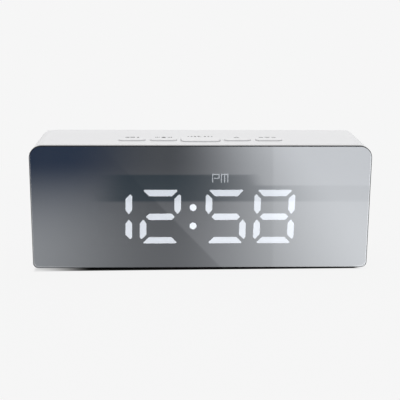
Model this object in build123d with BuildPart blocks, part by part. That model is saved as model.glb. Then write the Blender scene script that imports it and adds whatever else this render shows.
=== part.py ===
from build123d import *
import os
from math import atan2, degrees, radians, tan

# A digital desk clock: a white moulded casing with a half-mirror front, lit digits behind it,
# five keys on top, and a battery bay with a tilting door at the back.
# Frame: X to the right as the clock is read, Y away from the reader, Z up, origin at the
# middle of the clock on the surface that it stands on. Millimetres.

# Casing
body_width = 140.0
body_height = 52.0
body_depth = 38.0
top_corner_radius = 5.0
bottom_corner_radius = 2.2
smallest_radius = 0.3
wall = 2.0
front_edge_radius = 0.35
rear_edge_radius = 0.45
flange_thickness = 1.6

# Half-mirror front panel, the black film behind it and the tape that holds both
mirror_thickness = 2.0
mirror_bevel = 0.3
backing_thickness = 0.2
backing_margin = 0.15
backing_overlap = 1.5
tape_thickness = 0.3
tape_width = 2.4
tape_margin = 0.8

# Rubber feet
foot_height = 0.8
foot_radius = 4.0
foot_seat_depth = 0.6
foot_seat_gap = 0.1
foot_edge_radius = 0.2
foot_inset_x = 12.0
foot_inset_y = 9.0

# Rear cover and the screws that hold it
cover_thickness = 2.0
rear_lip = 1.0
cover_gap = 0.15
cover_edge_radius = 0.25
rear_screw_inset = 6.4
post_radius = 3.2
post_rib_thickness = 1.2
post_rib_setback = 2.0
sleeve_radius = 3.4
sleeve_length = 3.0
sleeve_floor = 1.6
screw_shank_radius = 1.15
screw_head_radius = 2.3
screw_head_height = 1.5
screw_head_edge = 0.4
screw_hole_gap = 0.1
screw_head_gap = 0.3
rear_screw_length = 8.0
cross_length = 2.6
cross_width = 0.6
cross_depth = 0.8

# Digits and the other marks of the display
display_x = -3.25
digit_count = 4
digit_drop = 4.4
digit_height = 23.1
digit_lean_share = 0.015
digit_gap = 3.2
colon_room = 10.2
stroke = 2.75
mitre_setback = 1.06
flat_tip_cut = 0.85
upright_tip_cut = 1.6
waist_setback = 1.1
waist_tip_rise = 1.8
bar_tip_setback = 2.5
bar_tip_length = 1.35
segment_corner_radius = 0.2
colon_radius = 1.45
colon_spread = 7.95
mark_shift = 2.5
mark_gap = 3.05
mark_height = 3.7
mark_letter_width = 3.05
mark_letter_gap = 0.6
mark_stroke = 0.42
mark_bridge = 0.35
mark_well_margin = 0.6

# Display block, board and light sources
block_side_margin = 3.7
block_end_margin = 2.4
block_standoff_gap = 1.2
block_depth = 5.0
diffuser_thickness = 1.4
diffuser_ledge = 0.35
window_gap = 0.3
board_thickness = 1.6
display_board_margin = 3.5
display_post_gap = 4.1
display_hole_inset = 3.2
display_screw_gap = 0.5
standoff_radius = 2.6
small_shank_radius = 0.95
small_head_radius = 1.9
small_head_height = 1.3
small_head_edge = 0.3
small_cross_length = 2.0
small_cross_width = 0.5
small_cross_depth = 0.6
display_screw_length = 3.6
led_length = 1.6
led_width = 0.8
led_height = 0.6
led_end_room = 1.0
led_across_share = 0.22

# Parts on the back of the display board
controller_x = 17.0
controller_lead_gap = 1.35
controller_length = 17.8
controller_width = 7.5
controller_height = 2.3
controller_leg_count = 14
driver_x = -22.0
driver_spacing = 14.0
driver_length = 9.9
driver_width = 3.9
driver_height = 1.6
driver_leg_count = 8
leg_pitch = 1.27
leg_width = 0.4
leg_reach = 1.2
leg_thickness = 0.3
crystal_side_margin = 15.7
crystal_radius = 1.0
crystal_length = 6.2
capacitor_side_margin = 13.7
capacitor_chip_gap = 0.5
capacitor_radius = 3.15
capacitor_height = 8.0
capacitor_edge = 0.5
resistor_length = 1.6
resistor_width = 0.8
resistor_height = 0.5
resistor_pitch = 3.0
resistor_count = 9
resistor_x = -6.0
low_row_margin = 5.5

# Temperature sensor
sensor_lift = 10.0
sensor_vent_gap = 1.9
sensor_bead_radius = 1.3
sensor_lead_radius = 0.3
sensor_lead_spacing = 1.8
vent_length = 9.0
vent_width = 1.1
vent_pitch = 2.6
vent_count = 3

# Keys
key_setback = 13.2
outer_key_x = 28.7
inner_key_x = 15.5
key_length = 11.0
key_width = 4.6
key_corner_share = 0.48
snooze_length = 16.2
snooze_width = 8.6
snooze_corner_share = 0.3
key_rise = 0.5
key_gap = 0.25
key_edge_radius = 0.3
key_lip = 0.6
key_lip_thickness = 1.0
key_lip_gap = 0.1
stem_radius = 1.5
stem_length = 1.6

# Tactile switches and the board that carries them
plunger_radius = 1.7
plunger_rise = 0.9
plunger_foot = 0.6
plunger_foot_lip = 0.35
plunger_gap = 0.3
plunger_foot_gap = 0.1
switch_size = 6.0
switch_base_height = 3.1
switch_cover_thickness = 0.3
switch_well_depth = 1.9
key_board_gap = 0.8
key_board_cup_gap = 1.0
key_board_margin = 0.6
key_post_gap = 0.6
key_post_radius = 2.3
key_screw_length = 5.2
ribbon_width = 8.0
ribbon_thickness = 0.4
ribbon_radius = 6.2

# Cells and their contacts
cell_length = 44.5
cell_gap = 0.25
cell_count = 3
cell_spacing = 0.4
cell_edge_radius = 0.5
nub_radius = 1.9
nub_length = 0.9
nub_edge_radius = 0.3
contact_thickness = 0.4
contact_side_margin = 1.5
contact_rim_margin = 1.1
contact_end_gap = 0.1
contact_tab_width = 3.0
contact_tab_reach = 2.0
contact_tab_gap = 0.2
spring_length = 4.2
spring_edge_margin = 1.75
spring_taper = 1.3
spring_wire_radius = 0.3
spring_turn_count = 3
spring_seat_gap = 0.05

# Battery bay and door
bay_margin = 9.6
cup_wall = 2.4
cup_floor = 1.5
cell_rib_height = 1.8
cell_rib_width = 1.2
door_thickness = 1.8
door_ledge = 1.4
door_gap = 0.2
door_seat_gap = 0.1
door_corner_radius = 1.5
hinge_pin_radius = 0.5
hinge_pin_gap = 0.08
hinge_pin_reach = 1.0
hinge_pin_end_gap = 0.3
latch_width = 10.0
latch_leaf = 0.8
latch_slit = 1.0
latch_depth = 2.6
latch_bend_radius = 0.6
latch_gap = 0.3
latch_room = 0.5
latch_wall = 1.2
thumb_height = 2.2
thumb_thickness = 1.0
groove_count = 3
groove_pitch = 0.65
groove_width = 0.25
groove_depth = 0.25

# Power socket and its board, in the room beside the battery bay
side_place_share = 0.569
socket_rise = 13.5
socket_width = 7.6
socket_height = 2.7
socket_depth = 5.2
socket_wall = 0.3
socket_corner_radius = 0.9
socket_setback = 0.4
socket_hole_gap = 0.3
tongue_block_depth = 1.6
tongue_width = 4.6
tongue_thickness = 0.7
tongue_setback = 1.0
tongue_gap = 0.05
power_board_width = 14.0
power_board_depth = 12.0
power_board_thickness = 1.2
power_board_gap = 0.3
rail_spacing = 10.4
rail_width = 3.2
rail_height = 4.0
power_screw_setback = 8.5
power_screw_length = 3.6
power_head_radius = 1.6
power_head_height = 1.0
power_shank_radius = 0.8

# Buzzer
buzzer_radius = 6.0
buzzer_height = 5.5
buzzer_edge_radius = 0.4
buzzer_port_radius = 1.2
buzzer_port_depth = 0.8
buzzer_gap = 0.15
buzzer_ring_wall = 1.2
buzzer_ring_length = 4.0
grille_hole_radius = 0.7
grille_circle_radius = 2.7
grille_hole_count = 6

# Insulated wires
lead_radius = 0.6
lead_run = 3.5
lead_run_share = 0.45
battery_lead_shift = 5.0
power_lead_spacing = 3.0
power_lead_climb = 6.5
buzzer_lead_spacing = 4.0
buzzer_lead_shift = 5.0

# Places that follow from the sizes
body_base = foot_height
body_top = body_base + body_height
body_mid = body_base + body_height / 2
inner_top = body_top - wall
front_y = -body_depth / 2
rear_y = body_depth / 2
mirror_back_y = front_y + mirror_thickness
backing_back_y = mirror_back_y + backing_thickness
housing_front_y = backing_back_y + tape_thickness
flange_back_y = housing_front_y + flange_thickness
cover_front_y = rear_y - cover_thickness
sleeve_end_y = cover_front_y - sleeve_length
screw_seat_y = sleeve_end_y + sleeve_floor
screw_hole_radius = screw_shank_radius + screw_hole_gap
screw_recess_radius = screw_head_radius + screw_head_gap
rear_screw_x = body_width / 2 - rear_screw_inset
rear_screw_z = body_height / 2 - rear_screw_inset
small_hole_radius = small_shank_radius + screw_hole_gap

display_board_width = 2 * (rear_screw_x - post_radius - display_post_gap - abs(display_x))
display_board_height = body_height - 2 * (wall + display_board_margin)
display_hole_x = display_board_width / 2 - display_hole_inset
board_right_x = display_x + display_board_width / 2
board_bottom_z = body_mid - display_board_height / 2
block_width = 2 * (display_hole_x - standoff_radius - block_standoff_gap)
block_height = digit_height + mark_gap + mark_height + 2 * block_end_margin
digit_gaps = (digit_count - 2) * digit_gap + colon_room
digit_width = (block_width - 2 * block_side_margin - digit_gaps) / digit_count
digit_pitch = digit_width + digit_gap
middle_pitch = digit_width + colon_room
digit_z = body_mid - digit_drop
digit_places = (
    display_x - middle_pitch / 2 - digit_pitch,
    display_x - middle_pitch / 2,
    display_x + middle_pitch / 2,
    display_x + middle_pitch / 2 + digit_pitch,
)
mark_x = digit_places[2] - mark_shift
mark_z = digit_z + digit_height / 2 + mark_gap + mark_height / 2
block_z = digit_z - digit_height / 2 - block_end_margin + block_height / 2
block_front_y = backing_back_y
block_back_y = block_front_y + block_depth
mark_well_width = 2 * mark_letter_width + mark_letter_gap + 2 * mark_well_margin
mark_well_height = mark_height + 2 * mark_well_margin
board_back_y = block_back_y + board_thickness

key_y = front_y + key_setback
key_lip_top_z = inner_top - key_lip_gap
key_stop_z = key_lip_top_z - key_lip_thickness
plunger_top_z = key_stop_z - stem_length
switch_top_z = plunger_top_z - plunger_rise
switch_base_top_z = switch_top_z - switch_cover_thickness
key_board_top_z = switch_base_top_z - switch_base_height
key_board_base_z = key_board_top_z - board_thickness
key_board_front_y = board_back_y + key_board_gap
display_hole_z = key_board_base_z - display_screw_gap - small_head_radius - body_mid
plunger_foot_radius = plunger_radius + plunger_foot_lip
foot_top_z = switch_base_top_z - plunger_foot_gap
key_post_x = outer_key_x + key_length / 2 + key_lip + key_post_gap + key_post_radius

bay_length = cell_length + 2 * (contact_thickness + contact_end_gap) + spring_length
bay_height = body_height - 2 * bay_margin
cell_radius = (bay_height - 2 * cell_gap - (cell_count - 1) * cell_spacing) / (2 * cell_count)
cell_pitch = 2 * cell_radius + cell_spacing
contact_width = 2 * cell_radius - contact_side_margin
contact_depth = 2 * cell_radius - contact_rim_margin
spring_base_radius = cell_radius - spring_edge_margin
spring_tip_radius = spring_base_radius - spring_taper
bay_top_z = body_mid + bay_height / 2
door_inner_y = rear_y - door_thickness
rim_y = door_inner_y - door_seat_gap
bay_floor_y = rim_y - 2 * (cell_radius + cell_gap)
cup_front_y = bay_floor_y - cup_floor
key_board_depth = cup_front_y - key_board_cup_gap - key_board_front_y
cell_y = bay_floor_y + cell_gap + cell_radius
door_width = bay_length + 2 * door_ledge
door_height = bay_height + 2 * door_ledge
door_bottom_z = body_mid - door_height / 2
door_top_z = body_mid + door_height / 2
hinge_y = rear_y - door_thickness / 2
hinge_z = door_bottom_z + door_thickness / 2
bend_y = door_inner_y - latch_depth
leg_base_z = door_top_z + latch_slit
thumb_top_z = leg_base_z + latch_leaf + thumb_height
pocket_top_z = thumb_top_z + latch_gap
pocket_floor_y = bend_y - latch_leaf - latch_room
contact_x = bay_length / 2 - contact_thickness / 2
cell_heights = [body_mid + cell_pitch * ((cell_count - 1) / 2 - row) for row in range(cell_count)]
tab_end_y = cup_front_y - contact_tab_reach
chip_lift = lead_radius + controller_lead_gap + leg_reach + controller_width / 2
chip_z = body_mid - cell_pitch + chip_lift
capacitor_z = chip_z + controller_width / 2 + leg_reach + capacitor_chip_gap + capacitor_radius
low_row_z = board_bottom_z + low_row_margin
cup_side_x = bay_length / 2 + cup_wall
sleeve_side_x = rear_screw_x - sleeve_radius
side_x = cup_side_x + side_place_share * (sleeve_side_x - cup_side_x)

socket_x = -side_x
socket_z = body_base + socket_rise
socket_mouth_y = rear_y - socket_setback
power_board_top_z = socket_z - socket_height / 2
power_board_base_z = power_board_top_z - power_board_thickness
power_board_rear_y = cover_front_y - power_board_gap
power_board_front_y = power_board_rear_y - power_board_depth
power_screw_y = power_board_rear_y - power_screw_setback
power_hole_radius = power_shank_radius + screw_hole_gap
power_lead_z = power_board_base_z + power_board_thickness / 2
sensor_x = -side_x
sensor_z = body_mid + sensor_lift
sensor_reach = cover_front_y - sensor_vent_gap - sensor_bead_radius - board_back_y
buzzer_x = side_x
buzzer_z = body_mid
buzzer_front_y = cover_front_y - buzzer_height


def facing(y):
    """A plane at depth y that faces the reader: its X is the clock's X, its Y is the clock's Z."""
    return Plane.XZ.offset(-y)


def level(z):
    """A plane at height z that faces up."""
    return Plane.XY.offset(z)


def downward(z):
    """A plane at height z that faces down: its Y runs towards the reader."""
    return Plane(origin=(0, 0, z), x_dir=(1, 0, 0), z_dir=(0, 0, -1))


def soft_corner(radius, inset):
    """The radius of a corner that is moved in by inset, never sharp."""
    return max(radius - inset, smallest_radius)


def body_outline(y, inset):
    """The clock's front outline at depth y, moved in by inset on every side."""
    with BuildSketch(facing(y)) as outline:
        with Locations((0, body_mid)):
            Rectangle(body_width - 2 * inset, body_height - 2 * inset)
        fillet(outline.vertices().group_by(Axis.Y)[-1], soft_corner(top_corner_radius, inset))
        fillet(outline.vertices().group_by(Axis.Y)[0], soft_corner(bottom_corner_radius, inset))
    return outline.sketch


def straight_points(name):
    """The corners of one of an upright digit's seven segments, a to g, about its middle."""
    w = digit_width / 2
    h = digit_height / 2
    if name in "ad":
        side = 1 if name == "a" else -1
        reach = w - mitre_setback
        half = [
            (reach - flat_tip_cut, h),
            (reach - flat_tip_cut / 2, h - flat_tip_cut / 2),
            (reach - stroke, h - stroke),
        ]
        outline = half + [(-x, z) for x, z in reversed(half)]
        return [(x, side * z) for x, z in outline]
    if name == "g":
        tip = w - bar_tip_setback
        shoulder = tip - bar_tip_length
        top = [(-tip, 0), (-shoulder, stroke / 2), (shoulder, stroke / 2)]
        return top + [(-x, -z) for x, z in top]
    side = 1 if name in "bc" else -1
    up = 1 if name in "bf" else -1
    shoulder = waist_setback + waist_tip_rise
    outline = [
        (w, shoulder),
        (w, h - mitre_setback - upright_tip_cut),
        (w - upright_tip_cut / 2, h - mitre_setback - upright_tip_cut / 2),
        (w - stroke, h - mitre_setback - stroke),
        (w - stroke, shoulder),
        (w - stroke / 2, waist_setback),
    ]
    return [(side * x, up * z) for x, z in outline]


def segment_points(name):
    """The same corners once the digit leans to the right."""
    return [(x + digit_lean_share * z, z) for x, z in straight_points(name)]


def segment_centre(name):
    points = segment_points(name)
    return (sum(x for x, z in points) / len(points), sum(z for x, z in points) / len(points))


def chip_places(name):
    """Where a segment's two light chips sit, about the digit's middle."""
    x, z = segment_centre(name)
    if name not in upright_names:
        reach = led_across_share * digit_width / 2
        return [(x - reach, z), (x + reach, z)]
    # On an upright they keep to the straight inner side
    high, low = (z for x, z in segment_points(name)[3:5])
    reach = (abs(high - low) - led_end_room) / 2
    return [(x, (high + low) / 2 - reach), (x, (high + low) / 2 + reach)]


segment_names = "abcdefg"
lit_names = ("bc", "abged", "afgcd", "abcdefg")
upright_names = "bcef"


def segment_sketch(y, wanted, shrink=0):
    """The chosen segments of the four digits at depth y, each drawn in by shrink."""
    with BuildSketch(facing(y)) as drawn:
        for place, names in zip(digit_places, wanted):
            for name in names:
                with Locations((place, digit_z)):
                    Polygon(*segment_points(name), align=None)
        fillet(drawn.vertices(), segment_corner_radius)
        if shrink:
            offset(amount=-shrink, mode=Mode.REPLACE)
    return drawn.sketch


def colon_sketch(y, shrink=0):
    with BuildSketch(facing(y)) as drawn:
        with Locations((display_x, digit_z)):
            with GridLocations(0, colon_spread, 1, 2):
                Circle(colon_radius - shrink)
    return drawn.sketch


def mark_sketch(y):
    """The small afternoon mark above the digits, drawn in thin strokes."""
    half_letter = mark_letter_width / 2
    left = mark_x - mark_letter_gap / 2 - half_letter
    right = mark_x + mark_letter_gap / 2 + half_letter
    bowl_height = mark_height / 2
    with BuildSketch(facing(y)) as drawn:
        with Locations((left - half_letter, mark_z)):
            Rectangle(mark_stroke, mark_height, align=(Align.MIN, Align.CENTER))
        with Locations((left, mark_z + bowl_height)):
            Rectangle(mark_letter_width, mark_stroke, align=(Align.CENTER, Align.MAX))
        # The bowl stops short of the stem, so that its middle stays part of the block
        with Locations((left + half_letter, mark_z + mark_stroke / 2)):
            Rectangle(
                mark_letter_width - mark_stroke - mark_bridge,
                mark_stroke,
                align=(Align.MAX, Align.MAX),
            )
        with Locations((left + half_letter, mark_z + bowl_height)):
            Rectangle(mark_stroke, bowl_height, align=(Align.MAX, Align.MAX))
        with Locations((right, mark_z)):
            with GridLocations((mark_letter_width - mark_stroke) / 2, 0, 3, 1):
                Rectangle(mark_stroke, mark_height)
        with Locations((right, mark_z + mark_height / 2)):
            Rectangle(mark_letter_width, mark_stroke, align=(Align.CENTER, Align.MAX))
    return drawn.sketch


def screw(head_radius, head_height, shank_radius, length):
    """A screw along the plane's normal, with its head behind the plane."""
    Cylinder(shank_radius, length, align=(Align.CENTER, Align.CENTER, Align.MIN))
    Cylinder(head_radius, head_height, align=(Align.CENTER, Align.CENTER, Align.MAX))


def cross_recess(head_height, length, width, depth):
    """A cross cut into the screw head that lies behind the plane."""
    with Locations((0, 0, -head_height)):
        for across, along in ((length, width), (width, length)):
            Box(across, along, depth, align=(Align.CENTER, Align.CENTER, Align.MIN), mode=Mode.SUBTRACT)


def both_ways(x, z):
    return [(side * x, upward * z) for side in (-1, 1) for upward in (-1, 1)]


rear_screw_points = [(x, body_mid + z) for x, z in both_ways(rear_screw_x, rear_screw_z)]
display_screw_points = [(display_x + x, body_mid + z) for x, z in both_ways(display_hole_x, display_hole_z)]
key_screw_points = [(-key_post_x, key_y), (key_post_x, key_y)]
key_sizes = {
    "mode": (-outer_key_x, key_length, key_width, key_corner_share),
    "alarm": (-inner_key_x, key_length, key_width, key_corner_share),
    "snooze": (0, snooze_length, snooze_width, snooze_corner_share),
    "up": (inner_key_x, key_length, key_width, key_corner_share),
    "down": (outer_key_x, key_length, key_width, key_corner_share),
}
key_points = [(x, key_y) for x, length, width, share in key_sizes.values()]
every_segment = [segment_names for place in digit_places]
unlit_names = [[name for name in segment_names if name not in lit] for lit in lit_names]
pieces = {}

# White casing: a rounded tube with a front flange for the mirror
with BuildPart() as housing:
    extrude(body_outline(rear_y, 0), amount=rear_y - housing_front_y)
    fillet(housing.faces().sort_by(Axis.Y)[0].outer_wire().edges(), front_edge_radius)
    fillet(housing.faces().sort_by(Axis.Y)[-1].outer_wire().edges(), rear_edge_radius)
    extrude(body_outline(rear_y, wall), amount=rear_y - flange_back_y, mode=Mode.SUBTRACT)
    # Rebate that the rear cover drops into
    extrude(body_outline(rear_y, rear_lip), amount=cover_thickness, mode=Mode.SUBTRACT)
    # Window that the display block looks through
    with BuildSketch(facing(flange_back_y)):
        with Locations((display_x, block_z)):
            Rectangle(block_width + 2 * window_gap, block_height + 2 * window_gap)
    extrude(amount=flange_thickness, mode=Mode.SUBTRACT)
    # Posts for the rear screws, each tied to the side wall and to the nearer long wall
    with BuildSketch(facing(sleeve_end_y)):
        with Locations(*rear_screw_points):
            Circle(post_radius)
    extrude(amount=sleeve_end_y - flange_back_y)
    rib_reach = rear_screw_inset - wall / 2
    with BuildSketch(facing(sleeve_end_y - post_rib_setback)):
        for x, z in rear_screw_points:
            outward = 1 if x > 0 else -1
            upward = 1 if z > body_mid else -1
            with Locations((x + outward * rib_reach / 2, z)):
                Rectangle(rib_reach, post_rib_thickness)
            with Locations((x, z + upward * rib_reach / 2)):
                Rectangle(post_rib_thickness, rib_reach)
    extrude(amount=sleeve_end_y - post_rib_setback - flange_back_y)
    with BuildSketch(facing(sleeve_end_y)):
        with Locations(*rear_screw_points):
            Circle(screw_hole_radius)
    extrude(amount=rear_screw_length, mode=Mode.SUBTRACT)
    # Standoffs for the display board
    with BuildSketch(facing(block_back_y)):
        with Locations(*display_screw_points):
            Circle(standoff_radius)
            Circle(small_hole_radius, mode=Mode.SUBTRACT)
    extrude(amount=block_back_y - flange_back_y)
    # Posts that hang from the top wall for the key board
    with BuildSketch(level(key_board_top_z)):
        with Locations(*key_screw_points):
            Circle(key_post_radius)
            Circle(small_hole_radius, mode=Mode.SUBTRACT)
    extrude(amount=inner_top - key_board_top_z)
    # Key openings in the top wall
    with BuildSketch(level(inner_top)):
        for x, length, width, share in key_sizes.values():
            with Locations((x, key_y)):
                RectangleRounded(length + 2 * key_gap, width + 2 * key_gap, share * width + key_gap)
    extrude(amount=wall, mode=Mode.SUBTRACT)
    # Seats for the feet
    with BuildSketch(level(body_base)):
        with GridLocations(body_width - 2 * foot_inset_x, body_depth - 2 * foot_inset_y, 2, 2):
            Circle(foot_radius + foot_seat_gap)
    extrude(amount=foot_seat_depth, mode=Mode.SUBTRACT)
pieces["housing"] = housing

with BuildPart() as mirror_panel:
    extrude(body_outline(mirror_back_y, 0), amount=mirror_thickness)
    chamfer(mirror_panel.faces().sort_by(Axis.Y)[0].edges(), mirror_bevel)
pieces["mirror_panel"] = mirror_panel

# Black film on the back of the mirror, with a window for the display block
with BuildPart() as mirror_backing:
    extrude(body_outline(backing_back_y, backing_margin), amount=backing_thickness)
    with BuildSketch(facing(backing_back_y)):
        with Locations((display_x, block_z)):
            Rectangle(block_width - 2 * backing_overlap, block_height - 2 * backing_overlap)
    extrude(amount=backing_thickness, mode=Mode.SUBTRACT)
pieces["mirror_backing"] = mirror_backing

with BuildPart() as mirror_tape:
    tape_inset = tape_margin + tape_width
    extrude(body_outline(housing_front_y, tape_margin), amount=tape_thickness)
    extrude(body_outline(housing_front_y, tape_inset), amount=tape_thickness, mode=Mode.SUBTRACT)
pieces["mirror_tape"] = mirror_tape

with BuildPart() as rubber_feet:
    with BuildSketch(level(0)):
        with GridLocations(body_width - 2 * foot_inset_x, body_depth - 2 * foot_inset_y, 2, 2):
            Circle(foot_radius)
    extrude(amount=foot_height + foot_seat_depth)
    fillet(rubber_feet.faces().group_by(Axis.Z)[0].edges(), foot_edge_radius)
pieces["rubber_feet"] = rubber_feet

# Opaque block with one light well for each segment, dot and mark
diffuser_back_y = block_front_y + diffuser_thickness
well_depth = block_depth - diffuser_thickness
with BuildPart() as display_block:
    with BuildSketch(facing(block_back_y)):
        with Locations((display_x, block_z)):
            Rectangle(block_width, block_height)
    extrude(amount=block_depth)
    extrude(segment_sketch(diffuser_back_y, every_segment), amount=diffuser_thickness, mode=Mode.SUBTRACT)
    well_outline = segment_sketch(block_back_y, every_segment, diffuser_ledge)
    extrude(well_outline, amount=well_depth, mode=Mode.SUBTRACT)
    extrude(colon_sketch(diffuser_back_y), amount=diffuser_thickness, mode=Mode.SUBTRACT)
    extrude(colon_sketch(block_back_y, diffuser_ledge), amount=well_depth, mode=Mode.SUBTRACT)
    extrude(mark_sketch(diffuser_back_y), amount=diffuser_thickness, mode=Mode.SUBTRACT)
    with BuildSketch(facing(block_back_y)):
        with Locations((mark_x, mark_z)):
            Rectangle(mark_well_width, mark_well_height)
    extrude(amount=well_depth, mode=Mode.SUBTRACT)
pieces["display_block"] = display_block

with BuildPart() as lit_segments:
    extrude(segment_sketch(diffuser_back_y, lit_names), amount=diffuser_thickness)
pieces["lit_segments"] = lit_segments

with BuildPart() as dark_segments:
    extrude(segment_sketch(diffuser_back_y, unlit_names), amount=diffuser_thickness)
pieces["dark_segments"] = dark_segments

with BuildPart() as colon_dots:
    extrude(colon_sketch(diffuser_back_y), amount=diffuser_thickness)
pieces["colon_dots"] = colon_dots

with BuildPart() as afternoon_mark:
    extrude(mark_sketch(diffuser_back_y), amount=diffuser_thickness)
pieces["afternoon_mark"] = afternoon_mark

with BuildPart() as display_board:
    with BuildSketch(facing(board_back_y)):
        with Locations((display_x, body_mid)):
            Rectangle(display_board_width, display_board_height)
        with Locations(*display_screw_points):
            Circle(small_hole_radius, mode=Mode.SUBTRACT)
    extrude(amount=board_thickness)
pieces["display_board"] = display_board

# Two light chips for each segment, and one for each dot and for the mark
with BuildPart() as display_leds:
    with BuildSketch(facing(block_back_y)):
        for place in digit_places:
            for name in segment_names:
                with Locations(*[(place + x, digit_z + z) for x, z in chip_places(name)]):
                    if name in upright_names:
                        Rectangle(led_width, led_length)
                    else:
                        Rectangle(led_length, led_width)
        with Locations((display_x, digit_z)):
            with GridLocations(0, colon_spread, 1, 2):
                Rectangle(led_length, led_width)
        with Locations((mark_x, mark_z)):
            Rectangle(led_length, led_width)
    extrude(amount=led_height)
pieces["display_leds"] = display_leds

with BuildPart(facing(board_back_y)) as display_screws:
    with Locations(*display_screw_points):
        screw(small_head_radius, small_head_height, small_shank_radius, display_screw_length)
    fillet(display_screws.faces().group_by(Axis.Y)[-1].edges(), small_head_edge)
    with Locations(*display_screw_points):
        cross_recess(small_head_height, small_cross_length, small_cross_width, small_cross_depth)
pieces["display_screws"] = display_screws

# Chips on the back of the display board, each with a row of legs along both long sides
chip_sizes = {
    "controller_chip": (
        [controller_x],
        controller_length,
        controller_width,
        controller_height,
        controller_leg_count,
    ),
    "driver_chips": (
        [driver_x - driver_spacing / 2, driver_x + driver_spacing / 2],
        driver_length,
        driver_width,
        driver_height,
        driver_leg_count,
    ),
}
for name, (places, length, width, height, legs) in chip_sizes.items():
    with BuildPart() as chips:
        with BuildSketch(facing(board_back_y + height)):
            with Locations(*[(x, chip_z) for x in places]):
                Rectangle(length, width)
        extrude(amount=height)
        with BuildSketch(facing(board_back_y + leg_thickness)):
            with Locations(*[(x, chip_z) for x in places]):
                with GridLocations(leg_pitch, 0, legs, 1):
                    Rectangle(leg_width, width + 2 * leg_reach)
        extrude(amount=leg_thickness)
    pieces[name] = chips

with BuildPart() as crystal:
    crystal_end_x = board_right_x - crystal_side_margin - crystal_length / 2
    with BuildSketch(Plane.YZ.offset(crystal_end_x)):
        with Locations((board_back_y + crystal_radius, low_row_z)):
            Circle(crystal_radius)
    extrude(amount=crystal_length)
pieces["crystal"] = crystal

with BuildPart() as capacitor:
    with BuildSketch(facing(board_back_y)):
        with Locations((board_right_x - capacitor_side_margin, capacitor_z)):
            Circle(capacitor_radius)
    extrude(amount=-capacitor_height)
    fillet(capacitor.faces().sort_by(Axis.Y)[-1].edges(), capacitor_edge)
pieces["capacitor"] = capacitor

with BuildPart() as chip_resistors:
    with BuildSketch(facing(board_back_y)):
        with Locations((resistor_x, low_row_z)):
            with GridLocations(resistor_pitch, 0, resistor_count, 1):
                Rectangle(resistor_width, resistor_length)
    extrude(amount=-resistor_height)
pieces["chip_resistors"] = chip_resistors

# Temperature sensor: a bead on two stiff leads that reach towards the vents
with BuildPart(facing(board_back_y)) as thermistor:
    with Locations((sensor_x, sensor_z)):
        with GridLocations(sensor_lead_spacing, 0, 2, 1):
            Cylinder(sensor_lead_radius, sensor_reach, align=(Align.CENTER, Align.CENTER, Align.MAX))
        with Locations((0, 0, -sensor_reach)):
            Sphere(sensor_bead_radius)
pieces["thermistor"] = thermistor

# Keys: a cap through the top wall, a lip that stops under it and a stem down to the switch
for name, (x, length, width, share) in key_sizes.items():
    with BuildPart() as key:
        with BuildSketch(level(key_lip_top_z)):
            with Locations((x, key_y)):
                RectangleRounded(length, width, share * width)
        extrude(amount=body_top + key_rise - key_lip_top_z)
        fillet(key.faces().sort_by(Axis.Z)[-1].edges(), key_edge_radius)
        with BuildSketch(level(key_stop_z)):
            with Locations((x, key_y)):
                RectangleRounded(length + 2 * key_lip, width + 2 * key_lip, share * width + key_lip)
        extrude(amount=key_lip_thickness)
        with BuildSketch(level(plunger_top_z)):
            with Locations((x, key_y)):
                Circle(stem_radius)
        extrude(amount=stem_length)
    pieces[f"{name}_button"] = key
    with BuildPart() as plunger:
        with BuildSketch(level(foot_top_z)):
            with Locations((x, key_y)):
                Circle(plunger_radius)
        extrude(amount=plunger_top_z - foot_top_z)
        with BuildSketch(level(foot_top_z)):
            with Locations((x, key_y)):
                Circle(plunger_foot_radius)
        extrude(amount=-plunger_foot)
    pieces[f"{name}_plunger"] = plunger

with BuildPart() as switch_bases:
    with BuildSketch(level(key_board_top_z)):
        with Locations(*key_points):
            Rectangle(switch_size, switch_size)
    extrude(amount=switch_base_height)
    with BuildSketch(level(switch_base_top_z)):
        with Locations(*key_points):
            Circle(plunger_foot_radius + plunger_gap)
    extrude(amount=-switch_well_depth, mode=Mode.SUBTRACT)
pieces["switch_bases"] = switch_bases

with BuildPart() as switch_covers:
    with BuildSketch(level(switch_base_top_z)):
        with Locations(*key_points):
            Rectangle(switch_size, switch_size)
            Circle(plunger_radius + plunger_gap, mode=Mode.SUBTRACT)
    extrude(amount=switch_cover_thickness)
pieces["switch_covers"] = switch_covers

with BuildPart() as key_board:
    with BuildSketch(level(key_board_base_z)):
        with Locations((0, key_board_front_y)):
            board_reach = key_post_x + key_post_radius + key_board_margin
            Rectangle(2 * board_reach, key_board_depth, align=(Align.CENTER, Align.MIN))
        with Locations(*key_screw_points):
            Circle(small_hole_radius, mode=Mode.SUBTRACT)
    extrude(amount=board_thickness)
pieces["key_board"] = key_board

with BuildPart(level(key_board_base_z)) as key_board_screws:
    with Locations(*key_screw_points):
        screw(small_head_radius, small_head_height, small_shank_radius, key_screw_length)
    fillet(key_board_screws.faces().group_by(Axis.Z)[0].edges(), small_head_edge)
    with Locations(*key_screw_points):
        cross_recess(small_head_height, small_cross_length, small_cross_width, small_cross_depth)
pieces["key_board_screws"] = key_board_screws

# Flat ribbon that turns a quarter circle from the display board up to the key board
with BuildPart() as key_ribbon:
    with BuildSketch(level(key_board_base_z)):
        with Locations((0, board_back_y + ribbon_radius)):
            Rectangle(ribbon_width, ribbon_thickness)
    revolve(axis=Axis((0, board_back_y, key_board_base_z), (-1, 0, 0)), revolution_arc=90)
pieces["key_ribbon"] = key_ribbon

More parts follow.
